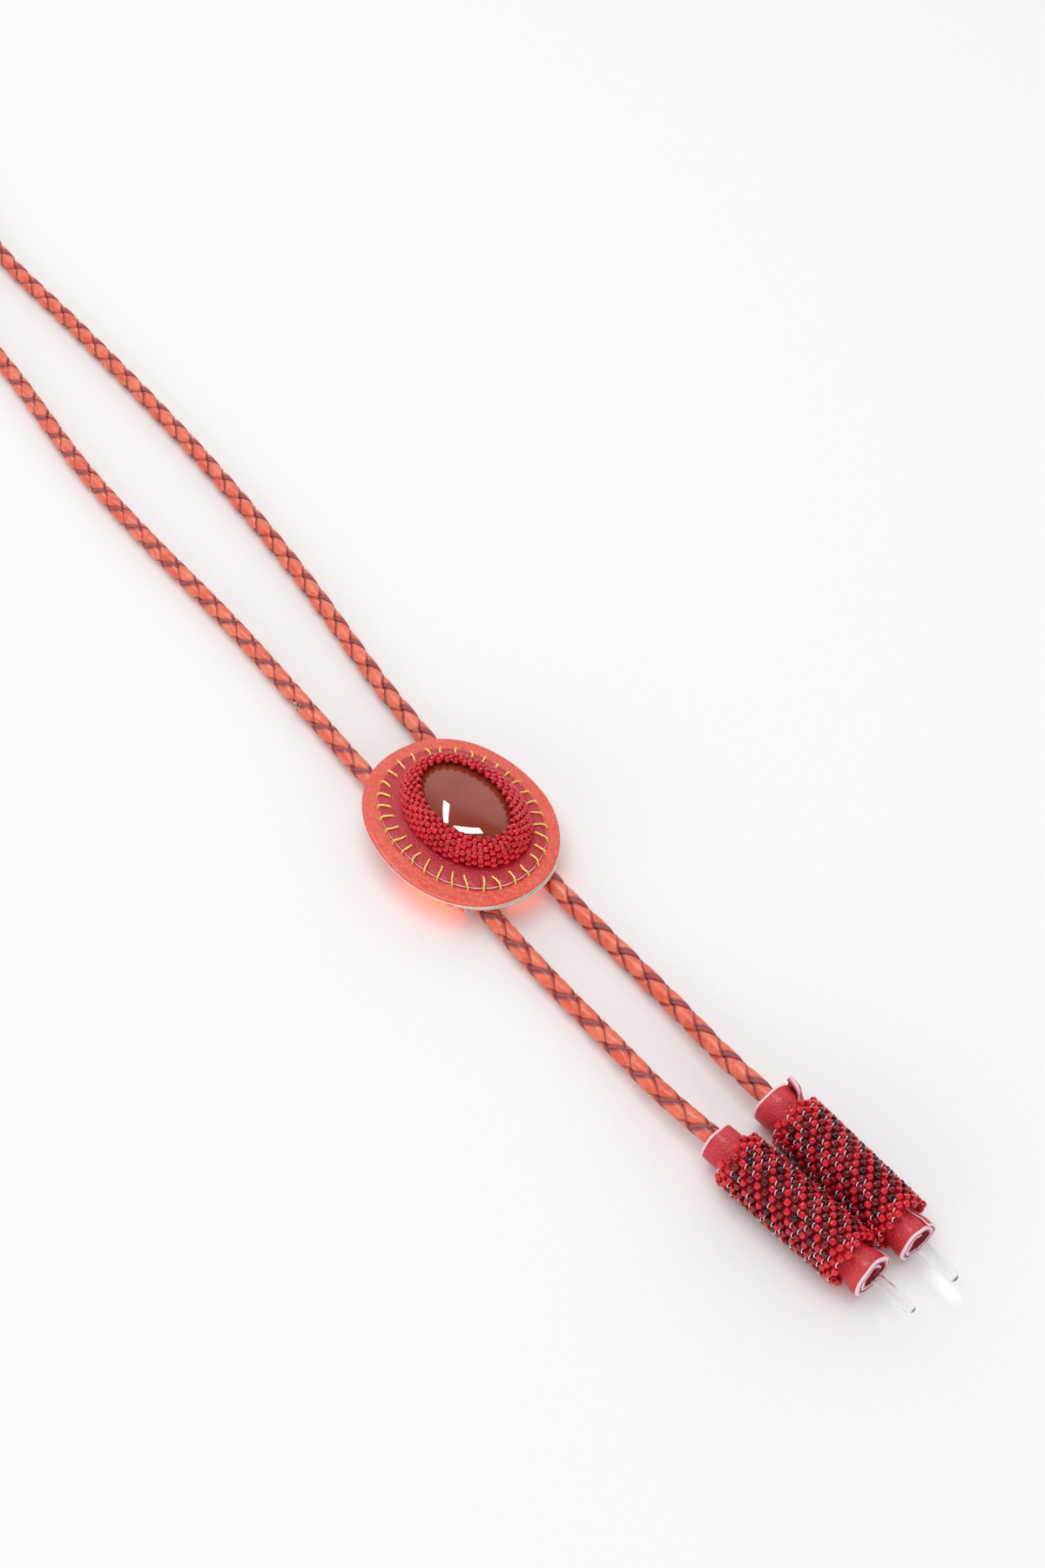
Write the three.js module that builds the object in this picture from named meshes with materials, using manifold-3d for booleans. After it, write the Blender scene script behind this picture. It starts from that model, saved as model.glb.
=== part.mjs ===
// Bolo tie: a braided leather cord with two beaded tips and an oval leather slide.
// Millimetres. +Y runs along the tie from the tips to the neck loop, +Z is up, and the
// origin is the middle of the keeper strap's flat underside, which lies on the table.

import * as THREE from 'three';
import { mergeVertices } from 'three/addons/utils/BufferGeometryUtils.js';
import Module from 'manifold-3d';

const wasm = await Module();
wasm.setup();

// Clearances
const SEAT_GAP = 0.3;          // between a piece and the one that it is fitted round
const CORD_GAP = 0.2;          // round the cord in the keeper
const TABLE_GAP = 0.05;        // under the cord where it lies on the table
const SLEEVE_GAP = 0.15;       // between a roll and its bead tube

// Cord
const CORD_DIAMETER = 4.0;
const CORD_SIDES = 10;
const CORD_STEPS = 80;
const CORD_LEAD = 6;           // straight stretch out of a tip
const CORD_DROP = 0.4;         // that the cord sinks over that stretch
const CORD_SPACING = 14.6;     // between the two strands where they run through the keeper

// Keeper strap
const KEEPER_LENGTH = 30.0;
const KEEPER_LEATHER = 1.0;
const KEEPER_FLANGE = 3.0;
const KEEPER_BEND = 1.2;
const KEEPER_BEND_STEPS = 4;
const KEEPER_EDGE_INSET = 1.0; // of the flange inside the oval that it is sewn to

// Slide leathers
const OVAL_LENGTH = 46.0;
const OVAL_WIDTH = 36.0;
const OVAL_SQUARENESS = 2.12;  // exponent of the outline, 2 for a true ellipse
const OVAL_SIDES = 56;
const OVAL_CENTRE = { x: -0.5, y: 1.0 };
const BACK_LEATHER = 1.0;
const TOP_LEATHER = 1.0;
const LEATHER_EDGE = 0.15;     // rounding of a cut leather edge

// Crimson leather under the stone
const CRIMSON_LENGTH = 39.4;
const CRIMSON_WIDTH = 29.4;
const CRIMSON_LEATHER = 1.0;
const CRIMSON_CENTRE = { x: -0.1, y: 1.0 };
const CRIMSON_TURN = 3.0;      // degrees

// Cabochon and its beaded bezel
const STONE_LENGTH = 28.0;
const STONE_WIDTH = 19.0;
const STONE_GIRDLE = 1.2;
const STONE_DOME = 3.3;
const STONE_CHAMFER = 0.3;
const STONE_SIDES = 48;
const STONE_RINGS = 7;
const STONE_CENTRE = { x: 0.9, y: 1.0 };
const STONE_TURN = 4.5;        // degrees
const BEAD_DIAMETER = 1.4;
const BEZEL_OVERLAP = 0.25;    // share of the half width that the beads cover
const BEZEL_RINGS = 5;

// Tips
const ROLL_LENGTH = 37.5;
const ROLL_LEATHER = 0.95;
const ROLL_PITCH = 1.05;       // from one winding to the next
const ROLL_TURNS = 2.0;
const ROLL_SKIVE = 0.28;       // share of a turn over which the strip's ends are pared down
const ROLL_EDGE = 0.2;         // thickness left at a pared end
const ROLL_STEPS = 40;
const CORD_SOCKET = 17.5;      // depth of the cord in the roll
const SOCKET_SIDES = 24;
const ROD_DIAMETER = 2.2;
const ROD_PROTRUSION = 9.3;
const ROD_SIDES = 16;
const ROD_END_RINGS = 4;
const TUBE_DIAMETER = 10.4;    // over the beads
const TUBE_LENGTH = 28.3;
const TUBE_START = 5.7;        // from the roll's cord end to the first beads
const TUBE_EDGE = 0.4;
const TUBE_SIDES = 24;
const TIP_DISTANCE = 86.0;     // from the slide's middle to the tips' cord ends
const TIP_STAGGER = 0.7;       // of one tip past the other
const TIP_SPACING = 13.5;
const TIP_SHIFT = 3.55;        // of the pair to the right of the slide's middle
const TIPS = [
  { side: 'left', x: TIP_SHIFT - TIP_SPACING / 2, y: -TIP_DISTANCE - TIP_STAGGER / 2, turn: 8.4 },
  { side: 'right', x: TIP_SHIFT + TIP_SPACING / 2, y: -TIP_DISTANCE + TIP_STAGGER / 2, turn: 4.0 },
];

// Heights that the pieces share
const cordRadius = CORD_DIAMETER / 2;
const keeperChannel = CORD_DIAMETER + 2 * CORD_GAP;
const keeperTop = KEEPER_LEATHER + keeperChannel;
const topLeatherBase = keeperTop + BACK_LEATHER;
const crimsonBase = topLeatherBase + TOP_LEATHER;
const stoneBase = crimsonBase + CRIMSON_LEATHER;
const tableHeight = cordRadius + TABLE_GAP;
const keeperHeight = KEEPER_LEATHER + CORD_GAP + cordRadius;
const tipHeight = TUBE_DIAMETER / 2 * Math.cos(Math.PI / TUBE_SIDES);

// Finishes
const finishes = {
  coral: new THREE.MeshStandardMaterial({ color: 0xeb6e50, roughness: 0.62, metalness: 0 }),
  crimson: new THREE.MeshStandardMaterial({ color: 0xc02c3c, roughness: 0.55, metalness: 0 }),
  beads: new THREE.MeshStandardMaterial({ color: 0xa51226, roughness: 0.2, metalness: 0 }),
  stone: new THREE.MeshStandardMaterial({ color: 0x96564b, roughness: 0.08, metalness: 0 }),
  glass: new THREE.MeshStandardMaterial({ color: 0xf2f5f7, roughness: 0.05, metalness: 0 }),
};

function toSolid(geometry) {
  const bare = geometry.clone();
  bare.deleteAttribute('normal');
  bare.deleteAttribute('uv');
  const merged = mergeVertices(bare, 1e-4);
  return new wasm.Manifold(new wasm.Mesh({
    numProp: 3,
    vertProperties: new Float32Array(merged.attributes.position.array),
    triVerts: new Uint32Array(merged.index.array),
  }));
}

function toGeometry(solid) {
  const mesh = solid.getMesh();
  const geometry = new THREE.BufferGeometry();
  const corners = new THREE.BufferAttribute(new Float32Array(mesh.vertProperties), 3);
  geometry.setAttribute('position', corners);
  geometry.setIndex(new THREE.BufferAttribute(new Uint32Array(mesh.triVerts), 1));
  geometry.computeVertexNormals();
  return geometry;
}

function namedMesh(name, geometry, finish) {
  const mesh = new THREE.Mesh(geometry, finishes[finish].clone());
  mesh.name = name;
  return mesh;
}

// A rounded oval, long along Y
function ovalShape(length, width) {
  const points = [];
  for (let i = 0; i < OVAL_SIDES; i += 1) {
    const angle = 2 * Math.PI * i / OVAL_SIDES;
    const across = Math.cos(angle);
    const along = Math.sin(angle);
    const x = Math.sign(across) * Math.abs(across) ** (2 / OVAL_SQUARENESS);
    const y = Math.sign(along) * Math.abs(along) ** (2 / OVAL_SQUARENESS);
    points.push(new THREE.Vector2(x * width / 2, y * length / 2));
  }
  return new THREE.Shape(points);
}

function leatherOval(length, width, thickness) {
  const geometry = new THREE.ExtrudeGeometry(ovalShape(length, width), {
    depth: thickness - 2 * LEATHER_EDGE,
    bevelThickness: LEATHER_EDGE,
    bevelSize: LEATHER_EDGE,
    bevelOffset: -LEATHER_EDGE,
    bevelSegments: 1,
  });
  return geometry.translate(0, 0, LEATHER_EDGE);
}

// The keeper is a strap bent round both strands, with its ends turned out under the oval
function keeper() {
  const inner = CORD_SPACING / 2 + cordRadius + CORD_GAP;
  const outer = inner + KEEPER_LEATHER;
  const flange = outer + KEEPER_FLANGE;
  const under = keeperTop - KEEPER_LEATHER;
  const bend = Math.min(KEEPER_BEND, under);
  const section = new THREE.Shape();
  section.moveTo(-flange, keeperTop);
  section.lineTo(-flange, under);
  section.lineTo(-outer, under);
  section.lineTo(-outer, bend);
  section.quadraticCurveTo(-outer, 0, -outer + bend, 0);
  section.lineTo(outer - bend, 0);
  section.quadraticCurveTo(outer, 0, outer, bend);
  section.lineTo(outer, under);
  section.lineTo(flange, under);
  section.lineTo(flange, keeperTop);
  section.lineTo(inner, keeperTop);
  section.lineTo(inner, KEEPER_LEATHER);
  section.lineTo(-inner, KEEPER_LEATHER);
  section.lineTo(-inner, keeperTop);
  section.closePath();
  const strap = new THREE.ExtrudeGeometry(section, {
    depth: KEEPER_LENGTH,
    bevelEnabled: false,
    curveSegments: KEEPER_BEND_STEPS,
  });
  strap.rotateX(Math.PI / 2);
  strap.translate(0, KEEPER_LENGTH / 2, 0);
  const inset = 2 * KEEPER_EDGE_INSET;
  const trim = new THREE.ExtrudeGeometry(ovalShape(OVAL_LENGTH - inset, OVAL_WIDTH - inset), {
    depth: 3 * keeperTop,
    bevelEnabled: false,
  });
  trim.translate(OVAL_CENTRE.x, OVAL_CENTRE.y, -keeperTop);
  return namedMesh('keeper', toGeometry(toSolid(strap).intersect(toSolid(trim))), 'coral');
}

// The dome's height and slope at a distance in from the stone's edge, across its width
function domeAt(inset) {
  const half = STONE_WIDTH / 2;
  const share = 1 - inset / half;
  const level = Math.sqrt(1 - share * share);
  return {
    rise: STONE_GIRDLE + STONE_DOME * level,
    slope: Math.atan2(STONE_DOME * share / Math.max(level, 1e-6), half),
  };
}

// Turns a round lathe body into an oval one: rings near the edge keep an even distance
// from it, and rings near the top close to a point.
function makeOval(geometry) {
  const half = STONE_WIDTH / 2;
  const longer = (STONE_LENGTH - STONE_WIDTH) / 2;
  const position = geometry.attributes.position;
  for (let i = 0; i < position.count; i += 1) {
    const radius = Math.hypot(position.getX(i), position.getZ(i));
    const angle = Math.atan2(position.getZ(i), position.getX(i));
    const inward = Math.max(0, 1 - radius / half);
    const along = radius + longer * (1 - inward ** 3);
    position.setXYZ(i, radius * Math.cos(angle), -along * Math.sin(angle), position.getY(i));
  }
  geometry.computeVertexNormals();
  return geometry;
}

function cabochon() {
  const half = STONE_WIDTH / 2;
  const profile = [
    new THREE.Vector2(0, 0),
    new THREE.Vector2(half - STONE_CHAMFER, 0),
    new THREE.Vector2(half, STONE_CHAMFER),
    new THREE.Vector2(half, STONE_GIRDLE),
  ];
  for (let i = 1; i < STONE_RINGS; i += 1) {
    const angle = Math.PI / 2 * i / STONE_RINGS;
    const rise = STONE_GIRDLE + STONE_DOME * Math.sin(angle);
    profile.push(new THREE.Vector2(half * Math.cos(angle), rise));
  }
  profile.push(new THREE.Vector2(0, STONE_GIRDLE + STONE_DOME));
  return namedMesh('cabochon', makeOval(new THREE.LatheGeometry(profile, STONE_SIDES)), 'stone');
}

// The bezel is one bead thick. It stands up the girdle and leans in over the dome.
function beadBezel() {
  const half = STONE_WIDTH / 2;
  const cover = half * BEZEL_OVERLAP;
  const innerWall = [new THREE.Vector2(half + SEAT_GAP, 0)];
  const outerWall = [new THREE.Vector2(half + SEAT_GAP + BEAD_DIAMETER, 0)];
  for (let i = 0; i <= BEZEL_RINGS; i += 1) {
    const inset = cover * (i / BEZEL_RINGS) ** 2;
    const dome = domeAt(inset);
    const out = Math.sin(dome.slope);
    const up = Math.cos(dome.slope);
    const far = SEAT_GAP + BEAD_DIAMETER;
    const foot = half - inset;
    innerWall.push(new THREE.Vector2(foot + SEAT_GAP * out, dome.rise + SEAT_GAP * up));
    outerWall.push(new THREE.Vector2(foot + far * out, dome.rise + far * up));
  }
  const lip = innerWall.at(-1).clone().lerp(outerWall.at(-1), 0.5);
  const lean = outerWall.at(-1).clone().sub(innerWall.at(-1)).normalize();
  lip.x -= lean.y * BEAD_DIAMETER / 3;
  lip.y += lean.x * BEAD_DIAMETER / 3;
  const profile = [...outerWall, lip, ...innerWall.reverse()];
  profile.push(profile[0].clone());
  return namedMesh('bead_bezel', makeOval(new THREE.LatheGeometry(profile, STONE_SIDES)), 'beads');
}

// A strip of leather wound on itself, pared thin at both ends
function rollShape() {
  const bore = ROD_DIAMETER / 2 + SEAT_GAP;
  const inside = [];
  const outside = [];
  for (let i = 0; i <= ROLL_STEPS; i += 1) {
    const turn = ROLL_TURNS * i / ROLL_STEPS;
    const toEnd = Math.min(turn, ROLL_TURNS - turn) / ROLL_SKIVE;
    const wall = ROLL_EDGE + (ROLL_LEATHER - ROLL_EDGE) * Math.min(1, toEnd);
    const radius = bore + ROLL_PITCH * turn;
    const angle = 2 * Math.PI * turn;
    inside.push(new THREE.Vector2(radius * Math.cos(angle), radius * Math.sin(angle)));
    const far = radius + wall;
    outside.push(new THREE.Vector2(far * Math.cos(angle), far * Math.sin(angle)));
  }
  return new THREE.Shape([...outside, ...inside.reverse()]);
}

// The greatest radius of the roll, which the bead tube fits round
function rollRadius() {
  const bore = ROD_DIAMETER / 2 + SEAT_GAP;
  return bore + ROLL_PITCH * (ROLL_TURNS - ROLL_SKIVE) + ROLL_LEATHER;
}

function tipRoll(side) {
  const strip = new THREE.ExtrudeGeometry(rollShape(), { depth: ROLL_LENGTH, bevelEnabled: false });
  const depth = CORD_SOCKET + SEAT_GAP;
  const radius = cordRadius + SEAT_GAP;
  const socket = new THREE.CylinderGeometry(radius, radius, 2 * depth, SOCKET_SIDES);
  socket.rotateX(Math.PI / 2);
  const geometry = toGeometry(toSolid(strip).subtract(toSolid(socket)));
  geometry.rotateX(Math.PI / 2);
  return namedMesh(`${side}_tip_roll`, geometry, 'crimson');
}

function tipBeads(side) {
  const inner = rollRadius() + SLEEVE_GAP;
  const outer = TUBE_DIAMETER / 2;
  const end = TUBE_START + TUBE_LENGTH;
  const profile = [
    new THREE.Vector2(inner, -end),
    new THREE.Vector2(outer - TUBE_EDGE, -end),
    new THREE.Vector2(outer, -end + TUBE_EDGE),
    new THREE.Vector2(outer, -TUBE_START - TUBE_EDGE),
    new THREE.Vector2(outer - TUBE_EDGE, -TUBE_START),
    new THREE.Vector2(inner, -TUBE_START),
    new THREE.Vector2(inner, -end),
  ];
  const geometry = new THREE.LatheGeometry(profile, TUBE_SIDES);
  geometry.rotateY(Math.PI / TUBE_SIDES);
  return namedMesh(`${side}_tip_beads`, geometry, 'beads');
}

function tipRod(side) {
  const radius = ROD_DIAMETER / 2;
  const start = CORD_SOCKET + SEAT_GAP;
  const end = ROLL_LENGTH + ROD_PROTRUSION;
  const profile = [new THREE.Vector2(0, -end)];
  for (let i = 1; i <= ROD_END_RINGS; i += 1) {
    const angle = Math.PI / 2 * i / ROD_END_RINGS;
    const height = radius * (1 - Math.cos(angle));
    profile.push(new THREE.Vector2(radius * Math.sin(angle), height - end));
  }
  profile.push(new THREE.Vector2(radius, -start));
  profile.push(new THREE.Vector2(0, -start));
  return namedMesh(`${side}_tip_rod`, new THREE.LatheGeometry(profile, ROD_SIDES), 'glass');
}

// A tip lies with its cord end at its own origin and points along its own -Y
function tip({ side, x, y, turn }) {
  const group = new THREE.Group();
  group.add(tipRoll(side), tipBeads(side), tipRod(side));
  group.position.set(x, y, tipHeight);
  group.rotation.z = THREE.MathUtils.degToRad(turn);
  return group;
}

// A point on a tip's axis, at a distance out of its cord end
function onTipAxis({ x, y, turn }, out, z) {
  const angle = THREE.MathUtils.degToRad(turn);
  return [x - out * Math.sin(angle), y + out * Math.cos(angle), z];
}

// The cord's route, from inside the left tip up to the neck loop and down to the right
// tip. Each strand climbs from the table to the keeper and to its tip.
const [leftTip, rightTip] = TIPS;
const strand = CORD_SPACING / 2;
const keeperEnd = KEEPER_LENGTH / 2;
const route = [
  onTipAxis(leftTip, -CORD_SOCKET, tipHeight),
  onTipAxis(leftTip, 0, tipHeight),
  onTipAxis(leftTip, CORD_LEAD, tipHeight - CORD_DROP),
  [-5.0, -70, tableHeight + 1.7],
  [-5.3, -58, tableHeight + 0.7],
  [-6.1, -43, tableHeight + 0.1],
  [-6.9, -28, tableHeight + 0.45],
  [-strand, -keeperEnd, keeperHeight],
  [-strand, keeperEnd, keeperHeight],
  [-7.9, 28, tableHeight + 0.45],
  [-8.0, 44, tableHeight + 0.05],
  [-8.7, 80, tableHeight],
  [-11.0, 118, tableHeight],
  [-11.7, 146, tableHeight],
  [-9.7, 188, tableHeight],
  [-10.2, 240, tableHeight],
  [-16.2, 290, tableHeight],
  [-18.6, 318, tableHeight],
  [-12.9, 332.4, tableHeight],
  [0.8, 338.4, tableHeight],
  [14.5, 332.4, tableHeight],
  [20.2, 318, tableHeight],
  [17.6, 290, tableHeight],
  [10.9, 248, tableHeight],
  [9.9, 227, tableHeight],
  [11.6, 196, tableHeight],
  [13.0, 160, tableHeight],
  [13.4, 124, tableHeight],
  [12.0, 84, tableHeight],
  [8.8, 46, tableHeight + 0.05],
  [8.0, 28, tableHeight + 0.45],
  [strand, keeperEnd, keeperHeight],
  [strand, -keeperEnd, keeperHeight],
  [7.9, -28, tableHeight + 0.45],
  [9.0, -43, tableHeight + 0.1],
  [9.6, -58, tableHeight + 0.7],
  [9.6, -70, tableHeight + 1.7],
  onTipAxis(rightTip, CORD_LEAD, tipHeight - CORD_DROP),
  onTipAxis(rightTip, 0, tipHeight),
  onTipAxis(rightTip, -CORD_SOCKET, tipHeight),
];

function cord() {
  const curve = new THREE.CatmullRomCurve3(route.map((point) => new THREE.Vector3(...point)));
  const section = [];
  for (let i = 0; i < CORD_SIDES; i += 1) {
    const angle = 2 * Math.PI * i / CORD_SIDES;
    section.push(new THREE.Vector2(cordRadius * Math.cos(angle), cordRadius * Math.sin(angle)));
  }
  const geometry = new THREE.ExtrudeGeometry(new THREE.Shape(section), {
    steps: CORD_STEPS,
    extrudePath: curve,
  });
  return namedMesh('cord', geometry, 'coral');
}

function place(mesh, centre, height, turn = 0) {
  mesh.position.set(centre.x, centre.y, height);
  mesh.rotation.z = THREE.MathUtils.degToRad(turn);
  return mesh;
}

const back = namedMesh('slide_back_leather', leatherOval(OVAL_LENGTH, OVAL_WIDTH, BACK_LEATHER), 'coral');
const top = namedMesh('slide_top_leather', leatherOval(OVAL_LENGTH, OVAL_WIDTH, TOP_LEATHER), 'coral');
const crimsonOval = leatherOval(CRIMSON_LENGTH, CRIMSON_WIDTH, CRIMSON_LEATHER);
const crimson = namedMesh('crimson_leather', crimsonOval, 'crimson');

const tie = new THREE.Group();
tie.add(cord(), keeper());
tie.add(place(back, OVAL_CENTRE, keeperTop));
tie.add(place(top, OVAL_CENTRE, topLeatherBase));
tie.add(place(crimson, CRIMSON_CENTRE, crimsonBase, CRIMSON_TURN));
tie.add(place(beadBezel(), STONE_CENTRE, stoneBase, STONE_TURN));
tie.add(place(cabochon(), STONE_CENTRE, stoneBase, STONE_TURN));
tie.add(...TIPS.map(tip));

export default tie;
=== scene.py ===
import math
import random

import bmesh
import bpy
from mathutils import Euler, Matrix, Vector
from mathutils.geometry import interpolate_bezier


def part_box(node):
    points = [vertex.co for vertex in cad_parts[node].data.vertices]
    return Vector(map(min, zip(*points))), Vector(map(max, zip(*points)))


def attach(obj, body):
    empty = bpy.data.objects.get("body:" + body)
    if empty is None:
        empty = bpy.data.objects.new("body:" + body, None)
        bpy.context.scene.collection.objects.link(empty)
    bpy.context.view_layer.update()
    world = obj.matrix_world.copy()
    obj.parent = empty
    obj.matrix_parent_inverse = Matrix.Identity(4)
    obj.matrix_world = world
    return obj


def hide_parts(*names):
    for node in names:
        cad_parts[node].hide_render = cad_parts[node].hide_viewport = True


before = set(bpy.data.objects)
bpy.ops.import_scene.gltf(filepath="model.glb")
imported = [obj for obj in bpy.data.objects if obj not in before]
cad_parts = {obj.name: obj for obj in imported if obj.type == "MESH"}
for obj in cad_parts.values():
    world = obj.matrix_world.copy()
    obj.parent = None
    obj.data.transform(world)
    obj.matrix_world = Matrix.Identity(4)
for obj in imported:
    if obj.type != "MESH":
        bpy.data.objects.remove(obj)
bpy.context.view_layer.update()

MM = 0.001
UP = Vector((0, 0, 1))

# Camera and room. The camera stands at the near left and looks down along the tie
CAMERA_PLACE = Vector((-149.68, -234.07, 350.0)) * MM
CAMERA_PITCH = math.radians(50)
CAMERA_HEADING = math.radians(35)
CAMERA_LENS = 50.0
CAMERA_SENSOR = 36.0
FLOOR_GAP = 0.03 * MM           # under the keeper, so that the two faces don't coincide
FAR_WALL = (0.588, 0.809, 0)    # the way to the wall that the stone reflects
GLOW_TINT = (1.0, 0.10, 0.02)
BLUSH_TINT = (1.0, 0.32, 0.24)

# Cord: four laces plaited round, two turning each way
CORD_DIAMETER = 4.0 * MM
CORD_SPACING = 14.6 * MM
CORD_SOCKET = 17.5 * MM
CORD_LEAD = 6.0 * MM
CORD_DROP = 0.4 * MM
LINE_STEP = 0.5 * MM
BRAID_PITCH = 15.6 * MM
BRAID_TWIST = math.radians(20)
BRAID_SWAY = 0.25               # radians that the twist sways either way
BRAID_SWAY_LENGTH = 61.0 * MM
LACE_RADIUS = 1.14 * MM
LACE_SWING = 0.43 * MM
LACE_THICKNESS = 0.85 * MM
LACE_CROWN = 0.11 * MM
LACE_HALF_WIDTH = math.radians(81)
LACE_DRIFT = 0.06               # radians that a lace strays from its place
LACE_SNAP = 2.4                 # how steeply a lace goes from over to under
LACE_CUT_SHOWN = 0.28           # share of half its width by which one lace's dark edge band is wider: dyed cut edge and painted crevice shade
LACE_CUT_HIDDEN = 0.16          # and by which the other edge's band is narrower
LACE_CELLS = 14                 # along a lace, for each crossing over and under
LACE_CELLS_ACROSS = 8
NICK_PLACE = Vector((-9.75, 50.2, 2.9)) * MM    # where the left strand is frayed
NICK_FIBRES = 26
FIBRE_WIDTH = 0.13 * MM

# Slide
KEEPER_END = 15.0 * MM
OVAL_SIZE = (36.0 * MM, 46.0 * MM)
OVAL_CENTRE = Vector((-0.5, 1.0, 0)) * MM
OVAL_SQUARENESS = 2.12
OVAL_ROUGHNESS = 0.10 * MM      # how far a hand-cut outline strays
OVAL_WAVE = 0.05 * MM           # how far the rim rises and falls
BACK_SHIFT = Vector((0.35, -0.5, 0)) * MM
BACK_NARROWER = 1.1 * MM
BACK_DROOP = 0.35 * MM
# Half the section of a cut piece of leather, as shares of its radius and thickness
LEATHER_PROFILE = [
    (0, 1), (0.3, 1), (0.5, 1), (0.65, 1), (0.78, 1), (0.88, 1), (0.95, 1), (0.985, 0.98),
    (0.998, 0.90), (1.0, 0.84), (1.003, 0.5), (1.0, 0.14), (0.99, 0.0), (0.8, 0), (0.4, 0), (0, 0),
]
CUT_FROM = 0.9995               # share of the radius from which the side is the cut edge
CRIMSON_SIZE = (29.4 * MM, 39.4 * MM)
CRIMSON_CENTRE = Vector((-0.1, 1.0, 0)) * MM
CRIMSON_TURN = math.radians(3)
STITCHES = 34
STITCH_LENGTH = 2.4 * MM
STITCH_WIDTH = 0.42 * MM
STITCH_REACH = 0.045            # radians of the edge that a stitch pulls, to each side
STITCH_PULL = 0.012             # share of the oval that it pulls in
EDGE_FALL = 0.14 * MM           # how far the crimson edge falls between stitches
STITCH_FALL = 0.22 * MM         # and how much further at a stitch
STONE_SIZE = (19.0 * MM, 28.0 * MM)
STONE_CENTRE = Vector((0.9, 1.0, 0)) * MM
STONE_TURN = math.radians(4.5)
STONE_GIRDLE = 1.2 * MM
STONE_DOME = 3.3 * MM
BEZEL_COLUMNS = 66
BEZEL_ROWS = 9
BEZEL_PITCH = 0.70 * MM         # half a bead row, walked up the wall
BEZEL_FOOT = (10.95 * MM, 0.66 * MM)
BEZEL_TOP = (7.1 * MM, 4.5 * MM)

# Tips
TIP_PLACES = {"left": Vector((-3.2, -86.35, 0)) * MM, "right": Vector((10.3, -85.65, 0)) * MM}
TIP_TURNS = {"left": math.radians(8.4), "right": math.radians(4.0)}
ROLL_LENGTH = 37.5 * MM
ROLL_BORE = 1.4 * MM
ROLL_LEATHER = 0.95 * MM
ROLL_PITCH = 1.05 * MM
ROLL_TURNS = 2.0
ROLL_SKIVE = 0.28
ROLL_EDGE = 0.2 * MM
ROLL_SQUEEZE = 0.30 * MM        # how far the beadwork presses the outer winding in
FLAP_LENGTH = 4.4 * MM          # of the right roll's loose corner, along the tip
FLAP_TURN = 0.16                # its share of a winding
FLAP_LIFT = 0.75 * MM
ROLL_RECESS = 0.02 * MM         # how far each winding lies inside the next
ROLL_GROWTH = {"left": (0.02, 0.15), "right": (0.20, 0.08)}    # cord end, rod end
ROD_RADIUS = 1.1 * MM
ROD_PROTRUSION = 9.3 * MM
TUBE_STARTS = {"left": 4.4 * MM, "right": 5.1 * MM}
TUBE_END = 34.0 * MM
TUBE_COLUMNS = 26
TUBE_BEAD_PITCH = 1.77 * MM     # along a column of beads
TUBE_BEAD_RADIUS = 5.0 * MM     # from the axis to the middle of a bead
TUBE_BULGE = 0.45 * MM          # more than that on the side away from the other tip
TUBE_CONTACT = 0.72 * MM        # from a bead's middle to the table or to the other tube
TUBE_TWIST = 6                  # half rows that the beadwork climbs in one turn
TUBE_STEPS = range(-8, 60)      # more half rows than there is room for
TUBE_PLAIN_END = 3.2 * MM       # all red at each end

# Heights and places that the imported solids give
STONE_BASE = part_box("cabochon")[0].z
TIP_HEIGHT = sum(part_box("left_tip_beads"), Vector()).z / 2
TIP_FRAMES = {
    side: Matrix.Translation(TIP_PLACES[side] + UP * TIP_HEIGHT) @ Matrix.Rotation(turn, 4, "Z")
    for side, turn in TIP_TURNS.items()
}
# The upright plane between the two tips, where their beads touch
BETWEEN_TIPS = (TIP_FRAMES["left"].translation + TIP_FRAMES["right"].translation) / 2
ACROSS_TIPS = Euler((0, 0, sum(TIP_TURNS.values()) / 2)).to_matrix() @ Vector((1, 0, 0))

BEAD_LENGTH = 1.06 * MM
BEAD_DIAMETER = 1.36 * MM
BEAD_HOLE = 0.42 * MM
BEAD_SIDES = 12
BEZEL_BEAD_SWELL = 1.03         # how much thicker the bezel's beads are
BEZEL_STRETCH = 1.12            # and how much longer they may be to close a row
BEZEL_THREAD = 0.10 * MM
BEZEL_DASHES = 0.3              # share of the gaps in which the thread shows
TUBE_BEAD_SWELL = 1.04
TUBE_STRETCH = 1.14
TUBE_THREAD = 0.18 * MM
TUBE_DASHES = 0.42
TUBE_DASHES_ABOVE = 2.0 * MM    # none lies between the beads and the table
DASH_START = 0.72 * MM          # from a bead's middle, along its hole


class Value:
    """What a socket gives, so that sums of values add their Math nodes."""

    def __init__(self, finish, socket):
        self.finish = finish
        self.socket = socket

    def math(self, operation, *values):
        return self.finish.node("ShaderNodeMath", {"operation": operation}, dict(enumerate(values)))

    def __add__(self, other):
        return self.math("ADD", self, other)

    __radd__ = __add__

    def __sub__(self, other):
        return self.math("SUBTRACT", self, other)

    def __rsub__(self, other):
        return self.math("SUBTRACT", other, self)

    def __mul__(self, other):
        return self.math("MULTIPLY", self, other)

    __rmul__ = __mul__

    def ramp(self, low, high):
        """0 below low, 1 above high, and even in between."""
        settings = {"clamp": True}
        return self.finish.node("ShaderNodeMapRange", settings, {0: self, 1: low, 2: high})


class Nodes:
    """A tree of shader nodes."""

    def __init__(self, tree):
        self.tree = tree

    def node(self, kind, settings, values, output=0):
        made = self.tree.nodes.new(kind)
        for name, value in settings.items():
            setattr(made, name, value)
        for key, value in values.items():
            if isinstance(value, Value):
                self.tree.links.new(value.socket, made.inputs[key])
            else:
                made.inputs[key].default_value = value
        return Value(self, made.outputs[output])


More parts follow.
